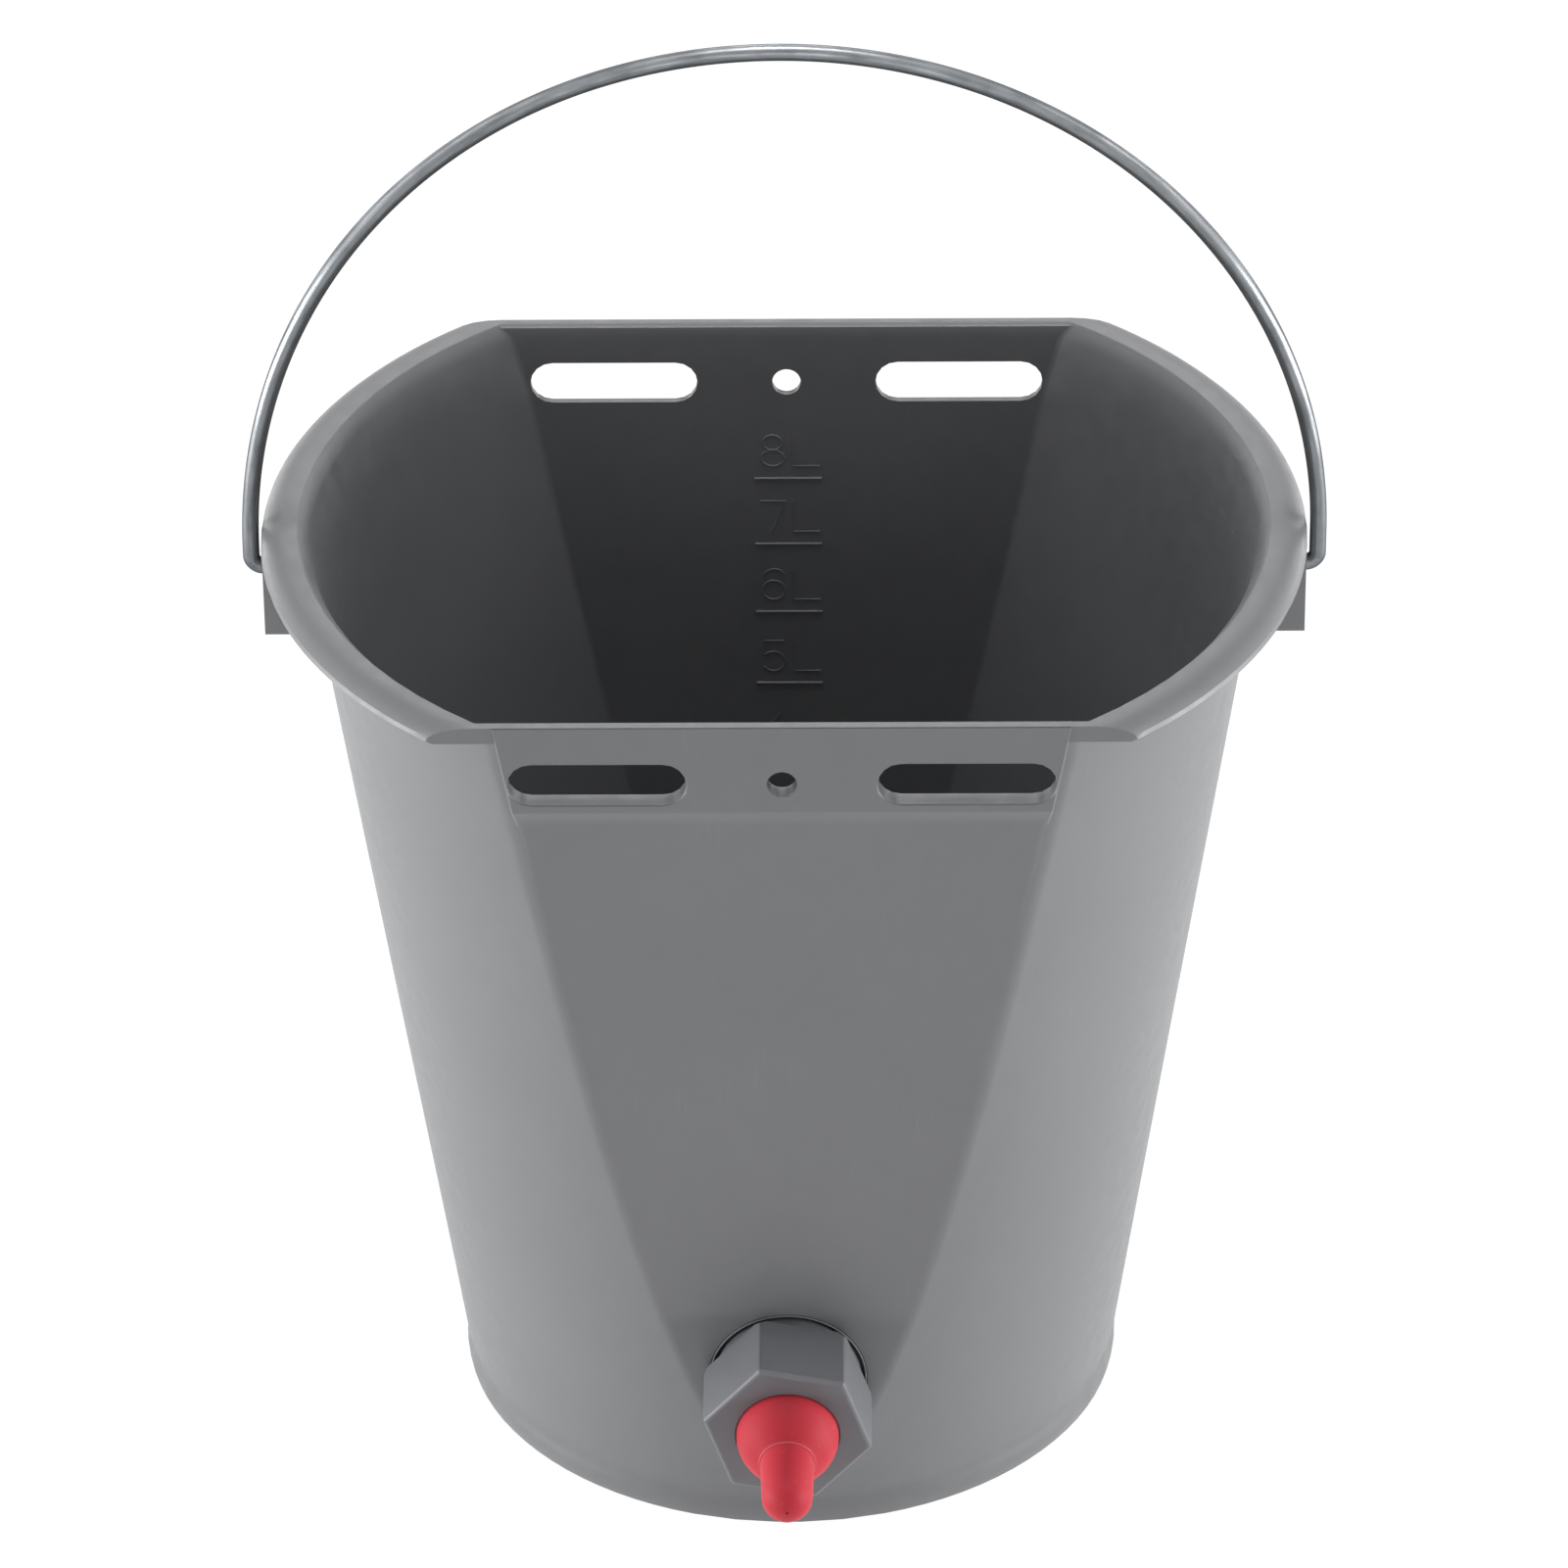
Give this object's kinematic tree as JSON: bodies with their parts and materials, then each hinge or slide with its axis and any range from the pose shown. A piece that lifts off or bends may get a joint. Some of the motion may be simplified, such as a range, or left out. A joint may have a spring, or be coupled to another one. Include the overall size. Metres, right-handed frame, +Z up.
{
  "type": "teat feeder bucket",
  "caption": "Tapered plastic bucket with flat front and back panels, rolled lip, wire bail, hanging slots, and a screwed ball-valve outlet with a rubber teat low on the front.",
  "frame": {"origin": "middle of the hub under the floor, level with the foot that the bucket stands on", "axes": "+Z up with the bail raised, -Y out of the front panel where the teat is, +X to the right seen from the front"},
  "size_m": [0.3072, 0.2716, 0.4335],
  "materials": {
    "grey_plastic": "satin moulded polypropylene",
    "nut_plastic": "satin moulded",
    "galvanised_steel": "drawn galvanised wire",
    "white_plastic": "satin moulded",
    "ball_rubber": "smooth",
    "black_rubber": "matt",
    "red_rubber": "matt moulded"
  },
  "bodies": {
    "bucket": {"bucket": "grey_plastic", "valve_body": "white_plastic", "ball_cage": "white_plastic", "outer_seal": "black_rubber", "inner_seal": "black_rubber"},
    "bail": {"bail": "galvanised_steel"},
    "teat": {"teat": "red_rubber"},
    "nut": {"hex_nut": "nut_plastic"},
    "ball": {"ball": "ball_rubber"}
  },
  "joints": [
    {"name": "bail_swing", "type": "hinge", "parent": "bucket", "child": "bail", "pos_m": [0, 0, 0.2672], "axis": [1, 0, 0], "range_deg": [-136, 136]},
    {"name": "teat_travel", "type": "slide", "parent": "bucket", "child": "teat", "axis": [0, -0.999, -0.0454], "range_m": [0, 0.0121]},
    {"name": "nut_turn", "type": "hinge", "parent": "teat", "child": "nut", "pos_m": [0, -0.0993, 0.0539], "axis": [0, -0.999, -0.0454], "range_deg": [0, 1080]},
    {"name": "ball_lift", "type": "slide", "parent": "bucket", "child": "ball", "axis": [0, -0.999, -0.0454], "range_m": [0, 0.005]}
  ],
  "couplings": [
    {"joint": "teat_travel", "follows": "nut_turn", "m_per_rad": 0.00063662}
  ]
}
